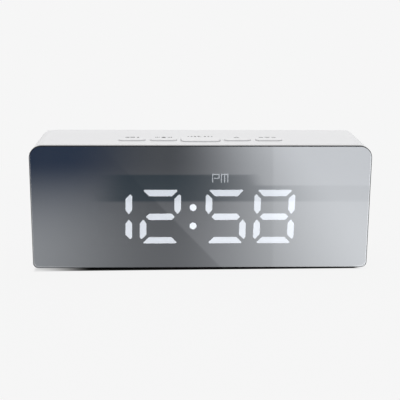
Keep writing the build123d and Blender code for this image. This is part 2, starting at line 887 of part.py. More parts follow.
# Rear cover with the battery cup, screw sleeves, buzzer ring and power rails moulded on
with BuildPart() as rear_cover:
    extrude(body_outline(rear_y, rear_lip + cover_gap), amount=cover_thickness)
    fillet(rear_cover.faces().sort_by(Axis.Y)[-1].edges(), cover_edge_radius)
    with BuildSketch(facing(cover_front_y)):
        with Locations((0, body_mid)):
            Rectangle(bay_length + 2 * cup_wall, bay_height + 2 * cup_wall)
    extrude(amount=cover_front_y - cup_front_y)
    pocket_box_width = latch_width + 2 * (latch_gap + latch_wall)
    with BuildSketch(facing(cover_front_y)):
        with Locations((0, bay_top_z)):
            Rectangle(
                pocket_box_width,
                pocket_top_z + latch_wall - bay_top_z,
                align=(Align.CENTER, Align.MIN),
            )
    extrude(amount=cover_front_y - pocket_floor_y + latch_wall)
    # Bay for the three cells
    with BuildSketch(facing(rear_y)):
        with Locations((0, body_mid)):
            Rectangle(bay_length, bay_height)
    extrude(amount=rear_y - bay_floor_y, mode=Mode.SUBTRACT)
    # Low ribs between the cells
    with BuildSketch(facing(bay_floor_y)):
        with Locations((0, body_mid)):
            with GridLocations(0, cell_pitch, 1, cell_count - 1):
                Rectangle(bay_length - 2 * (contact_thickness + spring_length), cell_rib_width)
    extrude(amount=-cell_rib_height)
    # Seat for the door
    with BuildSketch(facing(rear_y)) as door_seat:
        with Locations((0, body_mid)):
            Rectangle(door_width + 2 * door_gap, door_height + 2 * door_gap)
        fillet(door_seat.vertices().group_by(Axis.Y)[-1], door_corner_radius + door_gap)
    extrude(amount=rear_y - rim_y, mode=Mode.SUBTRACT)
    # Pocket for the door's latch, open to the bay
    with BuildSketch(facing(rear_y)):
        with Locations((0, bay_top_z)):
            pocket_height = pocket_top_z - bay_top_z
            Rectangle(latch_width + 2 * latch_gap, pocket_height, align=(Align.CENTER, Align.MIN))
    extrude(amount=rear_y - pocket_floor_y, mode=Mode.SUBTRACT)
    # Holes for the door's hinge pins
    with BuildSketch(Plane.YZ):
        with Locations((hinge_y, hinge_z)):
            Circle(hinge_pin_radius + hinge_pin_gap)
    pin_hole_reach = door_width / 2 + door_gap + hinge_pin_reach + hinge_pin_end_gap
    extrude(amount=pin_hole_reach, both=True, mode=Mode.SUBTRACT)
    # Slits in the bay floor for the tabs of the two end contacts
    with BuildSketch(facing(bay_floor_y)):
        for side in (-1, 1):
            with Locations((side * (contact_x - contact_tab_gap / 2), body_mid - side * cell_pitch)):
                Rectangle(contact_thickness + contact_tab_gap, contact_tab_width + 2 * contact_tab_gap)
    extrude(amount=cup_floor, mode=Mode.SUBTRACT)
    # Screw sleeves and their recesses
    with BuildSketch(facing(cover_front_y)):
        with Locations(*rear_screw_points):
            Circle(sleeve_radius)
    extrude(amount=sleeve_length)
    with BuildSketch(facing(rear_y)):
        with Locations(*rear_screw_points):
            Circle(screw_hole_radius)
    extrude(amount=rear_y - sleeve_end_y, mode=Mode.SUBTRACT)
    with BuildSketch(facing(rear_y)):
        with Locations(*rear_screw_points):
            Circle(screw_recess_radius)
    extrude(amount=rear_y - screw_seat_y, mode=Mode.SUBTRACT)
    # Ring that holds the buzzer, and the sound holes behind it
    with BuildSketch(facing(cover_front_y)):
        with Locations((buzzer_x, buzzer_z)):
            Circle(buzzer_radius + buzzer_gap + buzzer_ring_wall)
            Circle(buzzer_radius + buzzer_gap, mode=Mode.SUBTRACT)
    extrude(amount=buzzer_ring_length)
    with BuildSketch(facing(rear_y)):
        with Locations((buzzer_x, buzzer_z)):
            Circle(grille_hole_radius)
            with PolarLocations(grille_circle_radius, grille_hole_count):
                Circle(grille_hole_radius)
    extrude(amount=cover_thickness, mode=Mode.SUBTRACT)
    # Vents for the temperature sensor
    with BuildSketch(facing(rear_y)):
        with Locations((sensor_x, sensor_z)):
            with GridLocations(0, vent_pitch, 1, vent_count):
                SlotOverall(vent_length, vent_width)
    extrude(amount=cover_thickness, mode=Mode.SUBTRACT)
    # Opening for the power socket, and the two rails under its board
    with BuildSketch(facing(rear_y)):
        with Locations((socket_x, socket_z)):
            RectangleRounded(
                socket_width + 2 * socket_hole_gap,
                socket_height + 2 * socket_hole_gap,
                socket_corner_radius + socket_hole_gap,
            )
    extrude(amount=cover_thickness, mode=Mode.SUBTRACT)
    with BuildSketch(level(power_board_base_z)):
        with Locations((socket_x, cover_front_y)):
            with GridLocations(rail_spacing, 0, 2, 1):
                Rectangle(rail_width, cover_front_y - power_board_front_y, align=(Align.CENTER, Align.MAX))
    extrude(amount=-rail_height)
    with BuildSketch(level(power_board_base_z)):
        with Locations((socket_x, power_screw_y)):
            with GridLocations(rail_spacing, 0, 2, 1):
                Circle(power_hole_radius)
    extrude(amount=-power_screw_length + power_board_thickness, mode=Mode.SUBTRACT)
pieces["rear_cover"] = rear_cover

with BuildPart(facing(screw_seat_y)) as rear_screws:
    with Locations(*rear_screw_points):
        screw(screw_head_radius, screw_head_height, screw_shank_radius, rear_screw_length)
    fillet(rear_screws.faces().group_by(Axis.Y)[-1].edges(), screw_head_edge)
    with Locations(*rear_screw_points):
        cross_recess(screw_head_height, cross_length, cross_width, cross_depth)
pieces["rear_screws"] = rear_screws

# Door: a plate that turns on two pins in its rounded lower edge, with a bent latch leaf at the top
with BuildPart() as battery_door:
    with BuildSketch(Plane.YZ):
        with Locations((hinge_y, hinge_z)):
            Circle(door_thickness / 2)
            Rectangle(door_thickness, door_top_z - hinge_z, align=(Align.CENTER, Align.MIN))
    extrude(amount=door_width / 2, both=True)
    fillet(battery_door.edges().filter_by(Axis.Y).group_by(Axis.Z)[-1], door_corner_radius)
    with BuildSketch(Plane.YZ):
        with Locations((hinge_y, hinge_z)):
            Circle(hinge_pin_radius)
    extrude(amount=door_width / 2 + door_gap + hinge_pin_reach, both=True)
    # The leaf runs into the pocket, turns back and ends in the thumb tab
    with BuildSketch(Plane.YZ) as leaf:
        with Locations((rear_y, door_top_z - latch_leaf)):
            Rectangle(
                rear_y - bend_y + latch_leaf,
                latch_slit + 2 * latch_leaf,
                align=(Align.MAX, Align.MIN),
            )
        fillet(leaf.vertices().group_by(Axis.X)[0], latch_bend_radius)
        with Locations((rear_y, leg_base_z)):
            Rectangle(thumb_thickness, thumb_top_z - leg_base_z, align=(Align.MAX, Align.MIN))
        with Locations((rear_y, door_top_z)):
            Rectangle(rear_y - bend_y, latch_slit, align=(Align.MAX, Align.MIN), mode=Mode.SUBTRACT)
    extrude(amount=latch_width / 2, both=True)
    # Grip grooves across the thumb tab
    with BuildSketch(facing(rear_y)):
        with Locations((0, leg_base_z + latch_leaf + thumb_height / 2)):
            with GridLocations(0, groove_pitch, 1, groove_count):
                Rectangle(latch_width, groove_width)
    extrude(amount=groove_depth, mode=Mode.SUBTRACT)
pieces["battery_door"] = battery_door

# Cells, the outer two the same way round and the middle one turned
for row in range(cell_count):
    toward = 1 if row % 2 else -1
    cell_z = cell_heights[row]
    nub_x = toward * (bay_length / 2 - contact_thickness - contact_end_gap)
    with BuildPart(Plane(origin=(nub_x, cell_y, cell_z), z_dir=(-toward, 0, 0))) as cell:
        Cylinder(nub_radius, nub_length + cell_edge_radius, align=(Align.CENTER, Align.CENTER, Align.MIN))
        fillet(cell.faces().sort_by(Axis.X)[-1 if toward > 0 else 0].edges(), nub_edge_radius)
        with Locations((0, 0, nub_length)):
            Cylinder(cell_radius, cell_length - nub_length, align=(Align.CENTER, Align.CENTER, Align.MIN))
        fillet(cell.faces().filter_by(GeomType.CYLINDER).sort_by(SortBy.AREA)[-1].edges(), cell_edge_radius)
    pieces[f"battery_{row + 1}"] = cell

# End contacts: a plate against the bay's end wall, with a tab through the floor
for name, side in (("positive_contact", -1), ("negative_contact", 1)):
    with BuildPart() as contact:
        with BuildSketch(facing(bay_floor_y + contact_depth)):
            with Locations((side * contact_x, body_mid - side * cell_pitch)):
                Rectangle(contact_thickness, contact_width)
        extrude(amount=contact_depth)
        with BuildSketch(facing(bay_floor_y)):
            with Locations((side * contact_x, body_mid - side * cell_pitch)):
                Rectangle(contact_thickness, contact_tab_width)
        extrude(amount=bay_floor_y - tab_end_y)
    pieces[name] = contact

# Link contacts, each across two cells
with BuildPart() as link_contacts:
    with BuildSketch(facing(bay_floor_y + contact_depth)):
        for side in (-1, 1):
            with Locations((side * contact_x, body_mid + side * cell_pitch / 2)):
                Rectangle(contact_thickness, contact_width + cell_pitch)
    extrude(amount=contact_depth)
pieces["link_contacts"] = link_contacts

# Conical springs on the contacts at the cells' flat ends
with BuildPart() as contact_springs:
    rise = spring_length - 2 * (spring_wire_radius + spring_seat_gap)
    taper = degrees(atan2(spring_base_radius - spring_tip_radius, rise))
    for row in range(cell_count):
        toward = 1 if row % 2 else -1
        plate_x = -toward * (bay_length / 2 - contact_thickness - spring_seat_gap - spring_wire_radius)
        with BuildLine() as wire:
            Helix(
                pitch=rise / spring_turn_count,
                height=rise,
                radius=spring_base_radius,
                center=(plate_x, cell_y, cell_heights[row]),
                direction=(toward, 0, 0),
                cone_angle=-taper,
            )
        with BuildSketch(wire.line ^ 0):
            Circle(spring_wire_radius)
        sweep(path=wire.line)
pieces["contact_springs"] = contact_springs

# Power socket: a thin shell, open to the rear, round a block that carries the tongue
with BuildPart() as power_socket:
    with BuildSketch(facing(socket_mouth_y)):
        with Locations((socket_x, socket_z)):
            RectangleRounded(socket_width, socket_height, socket_corner_radius)
            RectangleRounded(
                socket_width - 2 * socket_wall,
                socket_height - 2 * socket_wall,
                socket_corner_radius - socket_wall,
                mode=Mode.SUBTRACT,
            )
    extrude(amount=socket_depth)
pieces["power_socket"] = power_socket

with BuildPart() as power_tongue:
    with BuildSketch(facing(socket_mouth_y - socket_depth + tongue_block_depth)):
        with Locations((socket_x, socket_z)):
            RectangleRounded(
                socket_width - 2 * (socket_wall + tongue_gap),
                socket_height - 2 * (socket_wall + tongue_gap),
                socket_corner_radius - socket_wall - tongue_gap,
            )
    extrude(amount=tongue_block_depth)
    with BuildSketch(facing(socket_mouth_y - tongue_setback)):
        with Locations((socket_x, socket_z)):
            Rectangle(tongue_width, tongue_thickness)
    extrude(amount=socket_depth - tongue_setback - tongue_block_depth)
pieces["power_tongue"] = power_tongue

with BuildPart() as power_board:
    with BuildSketch(level(power_board_base_z)):
        with Locations((socket_x, power_board_rear_y)):
            Rectangle(power_board_width, power_board_depth, align=(Align.CENTER, Align.MAX))
        with Locations((socket_x, power_screw_y)):
            with GridLocations(rail_spacing, 0, 2, 1):
                Circle(power_hole_radius, mode=Mode.SUBTRACT)
    extrude(amount=power_board_thickness)
pieces["power_board"] = power_board

with BuildPart(downward(power_board_top_z)) as power_board_screws:
    with Locations((socket_x, -power_screw_y)):
        with GridLocations(rail_spacing, 0, 2, 1):
            screw(power_head_radius, power_head_height, power_shank_radius, power_screw_length)
    fillet(power_board_screws.faces().group_by(Axis.Z)[-1].edges(), small_head_edge)
    with Locations((socket_x, -power_screw_y)):
        with GridLocations(rail_spacing, 0, 2, 1):
            cross_recess(power_head_height, small_cross_length, small_cross_width, small_cross_depth)
pieces["power_board_screws"] = power_board_screws

with BuildPart() as buzzer:
    with BuildSketch(facing(cover_front_y)):
        with Locations((buzzer_x, buzzer_z)):
            Circle(buzzer_radius)
    extrude(amount=buzzer_height)
    fillet(buzzer.faces().sort_by(Axis.Y)[0].edges(), buzzer_edge_radius)
    with BuildSketch(facing(cover_front_y)):
        with Locations((buzzer_x, buzzer_z)):
            Circle(buzzer_port_radius)
    extrude(amount=buzzer_port_depth, mode=Mode.SUBTRACT)
pieces["buzzer"] = buzzer

# Insulated wires: from where each starts, along Y, over to its place on the display board
lead_places = {
    "battery_leads": [
        (
            (side * contact_x, tab_end_y, body_mid - side * cell_pitch),
            (side * (contact_x - battery_lead_shift), board_back_y, body_mid - side * cell_pitch),
        )
        for side in (-1, 1)
    ],
    "power_leads": [
        (
            (socket_x + side * power_lead_spacing / 2, power_board_front_y, power_lead_z),
            (socket_x + side * power_lead_spacing / 2, board_back_y, power_lead_z + power_lead_climb),
        )
        for side in (-1, 1)
    ],
    "buzzer_leads": [
        (
            (buzzer_x, buzzer_front_y, buzzer_z + side * buzzer_lead_spacing / 2),
            (buzzer_x - buzzer_lead_shift, board_back_y, buzzer_z + side * buzzer_lead_spacing / 2),
        )
        for side in (-1, 1)
    ],
}
for name, places in lead_places.items():
    with BuildPart() as leads:
        for start, end in places:
            first, last = Vector(*start), Vector(*end)
            run = Vector(0, lead_run, 0)
            crossing = (last + run) - (first - run)
            turn = radians(crossing.get_angle(-run))
            radius = lead_run_share * min(lead_run, crossing.length) / tan(turn / 2)
            with BuildLine() as route:
                FilletPolyline(first, first - run, last + run, last, radius=radius)
            with BuildSketch(Plane(origin=first, z_dir=(0, -1, 0))):
                Circle(lead_radius)
            sweep(path=route.line)
    pieces[name] = leads

os.makedirs("parts", exist_ok=True)
for name, piece in pieces.items():
    piece.part.label = name
    export_step(piece.part, f"parts/{name}.step")
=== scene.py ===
import math

import bmesh
import bpy
from mathutils import Matrix, Vector


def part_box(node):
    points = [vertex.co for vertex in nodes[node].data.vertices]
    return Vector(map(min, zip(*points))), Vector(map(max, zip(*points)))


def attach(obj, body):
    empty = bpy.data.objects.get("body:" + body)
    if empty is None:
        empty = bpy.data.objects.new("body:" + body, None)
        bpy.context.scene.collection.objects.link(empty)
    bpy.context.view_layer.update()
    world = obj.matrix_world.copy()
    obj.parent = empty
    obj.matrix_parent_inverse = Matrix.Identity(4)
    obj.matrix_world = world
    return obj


# A digital desk clock with a half-mirror front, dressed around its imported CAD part. Metres, front towards -Y.

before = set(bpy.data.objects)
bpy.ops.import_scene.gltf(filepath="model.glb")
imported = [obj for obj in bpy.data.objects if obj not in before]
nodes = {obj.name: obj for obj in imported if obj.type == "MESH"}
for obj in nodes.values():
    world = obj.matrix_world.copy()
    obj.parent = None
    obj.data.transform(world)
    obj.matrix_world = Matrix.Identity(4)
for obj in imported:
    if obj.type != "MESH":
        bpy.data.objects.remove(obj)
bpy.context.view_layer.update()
mm = 0.001
print("frame loaded:", len(nodes), "nodes")

cameraSettings = {
    "place": (-12.21, -380.54, 122.74),   # mm
    "lookDown": 14.354,                   # degrees
    "turnRight": 1.858,
    "roll": 0.381,
    "lens": 81.55,
    "sensor": 36.0,
    "clip": (0.01, 50),
}


def setUpCamera(settings):
    down, turn, roll = (math.radians(settings[name]) for name in ("lookDown", "turnRight", "roll"))
    ahead = Vector((math.sin(turn) * math.cos(down), math.cos(turn) * math.cos(down), -math.sin(down)))
    level = Vector((math.cos(turn), -math.sin(turn), 0))
    upright = level.cross(ahead)
    right = level * math.cos(roll) + upright * math.sin(roll)
    up = upright * math.cos(roll) - level * math.sin(roll)
    bpy.ops.object.camera_add()
    camera = bpy.context.object
    camera.name = "photoCamera"
    camera.data.lens = settings["lens"]
    camera.data.sensor_width = settings["sensor"]
    camera.data.clip_start, camera.data.clip_end = settings["clip"]
    turned = Matrix((right, up, -ahead)).transposed().to_4x4()
    camera.matrix_world = Matrix.Translation(Vector(settings["place"]) * mm) @ turned
    bpy.context.scene.camera = camera


setUpCamera(cameraSettings)
bpy.context.scene.view_settings.view_transform = "Standard"
print("camera set")


def freshNodes(name):
    material = bpy.data.materials.new(name)
    material.use_nodes = True
    tree = material.node_tree
    tree.nodes.clear()
    return material, tree


# A node with some of its options and inputs set
def addNode(tree, kind, **values):
    node = tree.nodes.new(kind)
    for name, value in values.items():
        if hasattr(node, name):
            setattr(node, name, value)
        else:
            node.inputs[name].default_value = value
    return node


def wire(tree, start, end):
    tree.links.new(start, end)


# Numbers or sockets put through one step of mathematics
def combine(tree, operation, *parts):
    node = addNode(tree, "ShaderNodeMath", operation=operation)
    for index, part in enumerate(parts):
        if isinstance(part, (int, float)):
            node.inputs[index].default_value = part
        else:
            wire(tree, part, node.inputs[index])
    return node.outputs[0]


# One where the mask is nought
def without(tree, mask):
    return combine(tree, "SUBTRACT", 1.0, mask)


# From one bound to the other as a value goes from low to high
def spread(tree, value, low, high, kind="SMOOTHSTEP", bounds=(0, 1)):
    node = addNode(tree, "ShaderNodeMapRange", interpolation_type=kind)
    for name, number in (("From Min", low), ("From Max", high), ("To Min", bounds[0]), ("To Max", bounds[1])):
        node.inputs[name].default_value = number
    wire(tree, value, node.inputs["Value"])
    return node.outputs[0]


# One inside a rectangle: each side is a coordinate, its middle and half its size in mm
def boxMask(tree, *sides):
    masks = [combine(tree, "COMPARE", value, middle * mm, half * mm) for value, middle, half in sides]
    whole = masks.pop()
    for mask in masks:
        whole = combine(tree, "MULTIPLY", whole, mask)
    return whole


# The X, Y and Z of the place on the piece, or of the way that it faces there
def axesOf(tree, kind="Object"):
    split = addNode(tree, "ShaderNodeSeparateXYZ")
    wire(tree, addNode(tree, "ShaderNodeTexCoord").outputs[kind], split.inputs[0])
    return split.outputs


# The first colour where the mask is nought and the second where it is one
def blend(tree, mask, first, second):
    node = addNode(tree, "ShaderNodeMix", data_type="RGBA")
    wire(tree, mask, node.inputs[0])
    for socket, color in ((6, first), (7, second)):
        if isinstance(color, tuple):
            node.inputs[socket].default_value = color
        else:
            wire(tree, color, node.inputs[socket])
    return node.outputs[2]


def showShader(tree, shader, output="ShaderNodeOutputMaterial"):
    wire(tree, shader.outputs[0], addNode(tree, output).inputs[0])


# The first shader where the mask is nought and the second where it is one
def mixShaders(tree, mask, first, second):
    mix = addNode(tree, "ShaderNodeMixShader")
    for index, source in enumerate((mask, first.outputs[0], second.outputs[0])):
        wire(tree, source, mix.inputs[index])
    return mix


# One where a ray comes from the camera, a gloss or a clear surface
def seenDirectly(tree):
    rays = addNode(tree, "ShaderNodeLightPath").outputs
    direct = combine(tree, "MAXIMUM", rays["Is Camera Ray"], rays["Is Glossy Ray"])
    return combine(tree, "MAXIMUM", direct, rays["Is Transmission Ray"])


studio = {
    "paper": (0.922, 0.922, 0.922, 1),    # the pale ground, as it is seen
    "ambient": 0.52,
    "floorSize": 6.0,                     # metres, as what follows
    "underX": 0.0695,                     # half of the footprint, where the floor is painted dark as its full shadow
    "underY": 0.0190,
    "edgeX": 0.0040,
    "edgeY": 0.0008,
    "shiftX": 0.0010,                     # the painted shadow leans left and forwards, away from the light
    "shiftY": 0.0006,
    "skew": -0.02,
    "paleX": (-0.046, -0.072),            # the painted shadow pales towards its left end
    "pale": 0.75,
    "paintedShadowTone": 0.05,
    "shadow": 0.04,                       # the soft shadow round the clock, and where it ends
    "shadowReach": (0.07, 0.22),
    "aim": (0, 0, 0.03),
    "lamps": {
        "keyLight": {"place": (-0.05, 0.03, 0.85), "power": 3.6, "size": 0.9},
        "fillLight": {"place": (0.5, 0.7, 0.6), "power": 1.2, "size": 0.8},
    },
}


def buildWorld():
    world = bpy.data.worlds.new("paleRoom")
    world.use_nodes = True
    bpy.context.scene.world = world
    tree = world.node_tree
    tree.nodes.clear()
    seen = addNode(tree, "ShaderNodeBackground", Color=studio["paper"], Strength=1.0)
    around = addNode(tree, "ShaderNodeBackground", Color=(1, 1, 1, 1), Strength=studio["ambient"])
    showShader(tree, mixShaders(tree, seenDirectly(tree), around, seen), "ShaderNodeOutputWorld")


# Plain paper, with a soft shadow near the clock, and a painted shadow: the paper is painted dark only under it
def buildFloor():
    bpy.ops.mesh.primitive_plane_add(size=studio["floorSize"])
    floor = bpy.context.object
    floor.name = "paleFloor"
    material, tree = freshNodes("paleFloor")
    places = axesOf(tree)
    lean = combine(tree, "MULTIPLY_ADD", places["X"], studio["skew"], places["Y"])
    under = combine(tree, "MULTIPLY", spread(tree, places["X"], *studio["paleX"]), studio["pale"])
    for axis, across in (("X", places["X"]), ("Y", lean)):
        away = combine(tree, "ABSOLUTE", combine(tree, "ADD", across, studio["shift" + axis]))
        inner = studio["under" + axis] - studio["edge" + axis]
        under = combine(tree, "MAXIMUM", under, spread(tree, away, inner, studio["under" + axis]))
    reach = addNode(tree, "ShaderNodeVectorMath", operation="LENGTH")
    wire(tree, addNode(tree, "ShaderNodeTexCoord").outputs["Object"], reach.inputs[0])
    near = spread(tree, reach.outputs["Value"], *studio["shadowReach"], bounds=(1 - studio["shadow"], 1))
    seen = combine(tree, "MULTIPLY", combine(tree, "MULTIPLY", seenDirectly(tree), under), near)
    paper = addNode(tree, "ShaderNodeBsdfDiffuse")
    # Painted shadow: the paper's own colour goes dark under the clock
    tone = spread(tree, under, 0, 1, "LINEAR", (studio["paintedShadowTone"], studio["paper"][0]))
    wire(tree, tone, paper.inputs["Color"])
    light = addNode(tree, "ShaderNodeEmission", Color=studio["paper"], Strength=1.0)
    showShader(tree, mixShaders(tree, seen, paper, light))
    floor.data.materials.append(material)


def buildLights():
    for name, settings in studio["lamps"].items():
        bpy.ops.object.light_add(type="AREA", location=settings["place"])
        lamp = bpy.context.object
        lamp.name = name
        lamp.data.energy = settings["power"]
        lamp.data.size = settings["size"]
        aim = Vector(studio["aim"]) - lamp.location
        lamp.rotation_euler = aim.to_track_quat("-Z", "Y").to_euler()
        lamp.visible_glossy = False


buildWorld()
buildFloor()
buildLights()
print("studio built")

cardSettings = {
    "width": 700,                         # mm
    "near": -19.6,
    "far": -330,
    "rise": 0.15,
    "height": 420,
    "bend": 60,
    "bendSteps": 8,
    "sideX": (-15.5, 82.7),               # soft change from the dark side to the light one
    "edgeX": (8, 10),                     # a crisp edge on the dark side, and how it leans over the whole way
    "edgeLean": 81,
    "reflectedEdgeX": (29.5, 31.5),              # a crisp edge on the light side of the painted reflection, with painted shade on one side of it
    "reflectedEdgeLean": -34.1,
    "reflectedEdgeShade": 0.085,
    "reflectedEdgeTone": (0, 0, 0, 1),
    "endX": (-85, -17),
    "deepReach": (0.0, 0.72),             # shares of the way from the near edge to the far one
    "bandStart": (0.355, 0.375),          # a band across, with a step in its further edge
    "bandEnd": (0.475, 0.495),
    "bandEndLeft": (0.568, 0.585),
    "stepX": (32, 44),
    "bandX": (-60, -36),
    "bandShare": 0.62,
    "bandKept": 0.075,
    "bandTone": (0.020, 0.043, 0.060, 1),
    "nearDark": (0.187, 0.192, 0.200, 1),
    "farDark": (0.091, 0.097, 0.108, 1),
    "nearSheen": (0.262, 0.267, 0.277, 1),
    "farSheen": (0.101, 0.107, 0.117, 1),
    "nearEnd": (0.390, 0.400, 0.412, 1),
    "farEnd": (0.036, 0.052, 0.088, 1),
    "nearLight": (0.965, 0.978, 0.990, 1),
    "farLight": (0.880, 0.893, 0.912, 1),
}


# The mirror's card lies in front of the clock, bends and rises beyond. Its tones are a painted reflection of a
# room, seen only in the mirror
def shapeCard(settings):
    sizes = ("width", "near", "far", "rise", "bend", "height")
    width, near, far, rise, bend, height = (settings[name] * mm for name in sizes)
    bpy.ops.mesh.primitive_plane_add(size=1)
    card = bpy.context.object
    card.name = "reflectorCard"
    bpy.ops.object.mode_set(mode="EDIT")
    mesh = bmesh.from_edit_mesh(card.data)
    for vert in mesh.verts:
        vert.co = Vector((math.copysign(width / 2, vert.co.x), far if vert.co.y < 0 else near, rise))
    bpy.ops.mesh.select_all(action="DESELECT")
    for edge in mesh.edges:
        edge.select_set(all(vert.co.y < (near + far) / 2 for vert in edge.verts))
    bmesh.update_edit_mesh(card.data)
    steps = settings["bendSteps"]
    angles = [math.radians(90) * step / steps for step in range(steps + 1)]
    for before, after in zip(angles, angles[1:]):
        bpy.ops.mesh.extrude_region_move(TRANSFORM_OT_translate={"value": (
            0, bend * (math.sin(before) - math.sin(after)), bend * (math.cos(before) - math.cos(after)))})
    bpy.ops.mesh.extrude_region_move(TRANSFORM_OT_translate={"value": (0, 0, height)})
    bpy.ops.object.mode_set(mode="OBJECT")
    return card


# Painted reflection for the mirror: dark and light sides, crisp leaning edges with painted shade, and a darker
# band, all as glowing colour
def buildCardTones(settings):
    material, tree = freshNodes("cardTones")
    places = axesOf(tree)
    far = spread(tree, places["Y"], settings["near"] * mm, settings["far"] * mm, "LINEAR")
    deep = spread(tree, far, *settings["deepReach"])

    def acrossCard(name, lean=0):
        leaning = combine(tree, "MULTIPLY_ADD", far, lean * mm, places["X"])
        return spread(tree, leaning, *(place * mm for place in settings[name]))

    def tonesOf(name):
        return blend(tree, deep, settings["near" + name], settings["far" + name])

    side = acrossCard("sideX")
    dark = blend(tree, acrossCard("edgeX", settings["edgeLean"]), tonesOf("Dark"), tonesOf("Sheen"))
    dark = blend(tree, acrossCard("endX"), tonesOf("End"), dark)
    before = without(tree, acrossCard("reflectedEdgeX", settings["reflectedEdgeLean"]))
    before = combine(tree, "MULTIPLY", before, settings["reflectedEdgeShade"])
    light = blend(tree, before, tonesOf("Light"), settings["reflectedEdgeTone"])
    whole = blend(tree, side, dark, light)
    # One darker band across the painted reflection, with a step in its further edge
    end = combine(tree, "MULTIPLY", spread(tree, far, *settings["bandEnd"]), acrossCard("stepX"))
    end = combine(tree, "MAXIMUM", spread(tree, far, *settings["bandEndLeft"]), end)
    band = combine(tree, "SUBTRACT", spread(tree, far, *settings["bandStart"]), end)
    share = spread(tree, side, 0, 1, "LINEAR", (settings["bandShare"], settings["bandKept"]))
    band = combine(tree, "MULTIPLY", combine(tree, "MULTIPLY", band, acrossCard("bandX")), share)
    glow = addNode(tree, "ShaderNodeEmission", Strength=1.0)
    wire(tree, blend(tree, band, whole, settings["bandTone"]), glow.inputs["Color"])
    showShader(tree, glow)
    return material


reflectorCard = shapeCard(cardSettings)
reflectorCard.data.materials.append(buildCardTones(cardSettings))
reflectorCard.visible_camera = False      # only glossy rays see it
reflectorCard.visible_diffuse = False
reflectorCard.visible_transmission = False
reflectorCard.visible_shadow = False
print("reflector card built")


# A node group, its inputs with their first values, and the sockets inside it
def newGroup(name, inputs, outputs):
    group = bpy.data.node_groups.new(name, "ShaderNodeTree")
    for label, value in inputs.items():
        kind = "NodeSocketColor" if isinstance(value, tuple) else "NodeSocketFloat"
        group.interface.new_socket(name=label, in_out="INPUT", socket_type=kind).default_value = value
    for label, kind in outputs.items():
        group.interface.new_socket(name=label, in_out="OUTPUT", socket_type=kind)
    return group, addNode(group, "NodeGroupInput").outputs, addNode(group, "NodeGroupOutput").inputs


grainSettings = {
    "first": {"Color": (0.8, 0.8, 0.8, 1), "Shade": 0.05, "Roughness": 0.4, "Waver": 0.1,
              "Grain Scale": 2400.0, "Cloud Scale": 60.0},
    "grain": {"Detail": 3.0, "Roughness": 0.6},
    "cloud": {"Detail": 2.0, "Roughness": 0.5},
    "grainShare": 0.5,
    "middle": 0.75,                       # of the clouds and that share of the grain together
}


# Fine moulded grain: a colour with faint clouds, a roughness that wavers and a height for bump
def buildGrainGroup(settings):
    group, entry, leave = newGroup("mouldedGrain", settings["first"], {
        "Color": "NodeSocketColor", "Roughness": "NodeSocketFloat", "Height": "NodeSocketFloat"})
    place = addNode(group, "ShaderNodeTexCoord")
    grain = addNode(group, "ShaderNodeTexNoise", **settings["grain"])
    cloud = addNode(group, "ShaderNodeTexNoise", **settings["cloud"])
    for noise, scale in ((grain, "Grain Scale"), (cloud, "Cloud Scale")):
        wire(group, place.outputs["Object"], noise.inputs["Vector"])
        wire(group, entry[scale], noise.inputs["Scale"])
    both = combine(group, "MULTIPLY_ADD", grain.outputs["Fac"], settings["grainShare"], cloud.outputs["Fac"])
    centred = combine(group, "SUBTRACT", both, settings["middle"])
    tint = addNode(group, "ShaderNodeVectorMath", operation="SCALE")
    wire(group, entry["Color"], tint.inputs[0])
    wire(group, combine(group, "MULTIPLY_ADD", centred, entry["Shade"], 1.0), tint.inputs["Scale"])
    rough = combine(group, "MULTIPLY_ADD", centred, entry["Waver"], entry["Roughness"])
    wire(group, tint.outputs[0], leave["Color"])
    wire(group, rough, leave["Roughness"])
    wire(group, grain.outputs["Fac"], leave["Height"])
    return group


grainGroup = buildGrainGroup(grainSettings)
print("effects built")

finishDefaults = {
    "metallic": 0.0,
    "shade": 0.05,
    "waver": 0.1,
    "grainScale": 2400.0,
    "bump": 0.15,
    "bumpDepth": 0.02,                    # mm
}


def buildFinish(name, settings):
    settings = {**finishDefaults, **settings}
    material, tree = freshNodes(name)
    grain = addNode(tree, "ShaderNodeGroup", node_tree=grainGroup, Color=(*settings["color"], 1),
                    Shade=settings["shade"], Roughness=settings["roughness"], Waver=settings["waver"])
    grain.inputs["Grain Scale"].default_value = settings["grainScale"]
    shader = addNode(tree, "ShaderNodeBsdfPrincipled", Metallic=settings["metallic"])
    bump = addNode(tree, "ShaderNodeBump", Strength=settings["bump"], Distance=settings["bumpDepth"] * mm)
    wire(tree, grain.outputs["Color"], shader.inputs["Base Color"])
    wire(tree, grain.outputs["Roughness"], shader.inputs["Roughness"])
    wire(tree, grain.outputs["Height"], bump.inputs["Height"])
    wire(tree, bump.outputs[0], shader.inputs["Normal"])
    showShader(tree, shader)
    return material


def dress(nodeName, material):
    mesh = nodes[nodeName].data
    mesh.materials.clear()
    mesh.materials.append(material)


